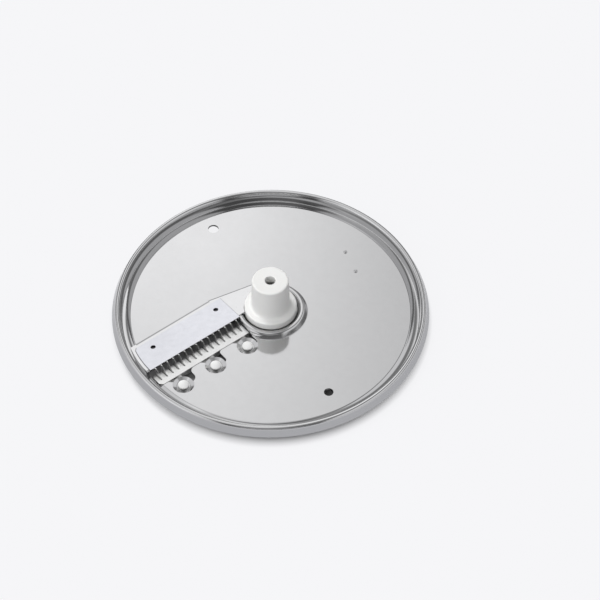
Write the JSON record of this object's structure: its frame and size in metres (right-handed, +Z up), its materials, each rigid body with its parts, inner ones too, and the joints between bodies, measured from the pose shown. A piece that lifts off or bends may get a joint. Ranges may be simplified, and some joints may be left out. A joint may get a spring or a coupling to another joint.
{
  "type": "shredding disc",
  "caption": "Round pressed steel cutting disc with a rolled rim, moulded centre hub, slicing blade on a raised seat and a comb of upright fins that shreds food into strips.",
  "frame": {"origin": "on the disc's axis, at the bottom of the hub base that the disc stands on", "axes": "+Z up along the axis of rotation, out of the cutting side; -Y towards the picture's viewer, with the blade at -X"},
  "size_m": [0.175, 0.175, 0.0323],
  "materials": {
    "pressed_steel": "polished stainless sheet with a fine turned grain",
    "blade_steel": "bright ground blade steel",
    "comb_steel": "satin stainless bar and ground fins",
    "fastener_steel": "satin stainless rivets and screws",
    "ivory_plastic": "smooth white moulding"
  },
  "bodies": {
    "root": {"disc_plate": "pressed_steel", "hub": "ivory_plastic", "hub_base": "ivory_plastic", "hub_screw_1": "fastener_steel", "hub_screw_2": "fastener_steel", "hub_screw_3": "fastener_steel", "hub_screw_4": "fastener_steel", "slicing_blade": "blade_steel", "blade_screw_1": "fastener_steel", "blade_screw_2": "fastener_steel", "comb_strip": "comb_steel", "comb_fin_01": "comb_steel", "comb_fin_02": "comb_steel", "comb_fin_03": "comb_steel", "comb_fin_04": "comb_steel", "comb_fin_05": "comb_steel", "comb_fin_06": "comb_steel", "comb_fin_07": "comb_steel", "comb_fin_08": "comb_steel", "comb_fin_09": "comb_steel", "comb_fin_10": "comb_steel", "comb_fin_11": "comb_steel", "comb_fin_12": "comb_steel", "comb_fin_13": "comb_steel", "comb_fin_14": "comb_steel", "comb_fin_15": "comb_steel", "comb_rivet_1": "fastener_steel", "comb_rivet_2": "fastener_steel", "comb_rivet_3": "fastener_steel"}
  },
  "joints": []
}
